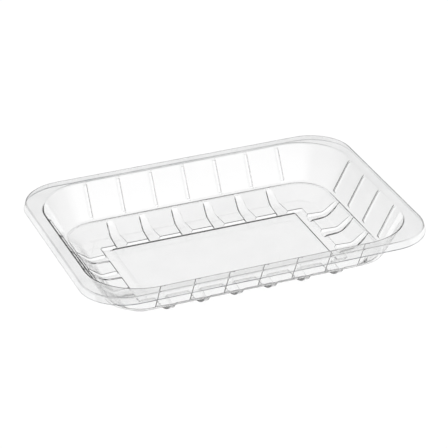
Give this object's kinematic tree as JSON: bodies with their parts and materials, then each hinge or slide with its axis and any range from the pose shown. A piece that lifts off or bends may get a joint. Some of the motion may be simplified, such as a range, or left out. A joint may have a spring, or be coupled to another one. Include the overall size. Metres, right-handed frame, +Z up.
{
  "type": "plastic meat tray",
  "caption": "Clear, empty thermoformed food tray: flanged rim with a turned-down skirt, ribbed sloping walls, and a grooved base round a raised panel.",
  "frame": {"origin": "on the surface the tray stands on, under the middle of its length and width", "axes": "+X along the length, +Y across the width, +Z up through the open mouth"},
  "size_m": [0.22, 0.16, 0.031],
  "materials": {
    "clear_plastic": "clear, glossy thermoformed sheet, colourless"
  },
  "bodies": {
    "root": {"tray": "clear_plastic"}
  },
  "joints": []
}
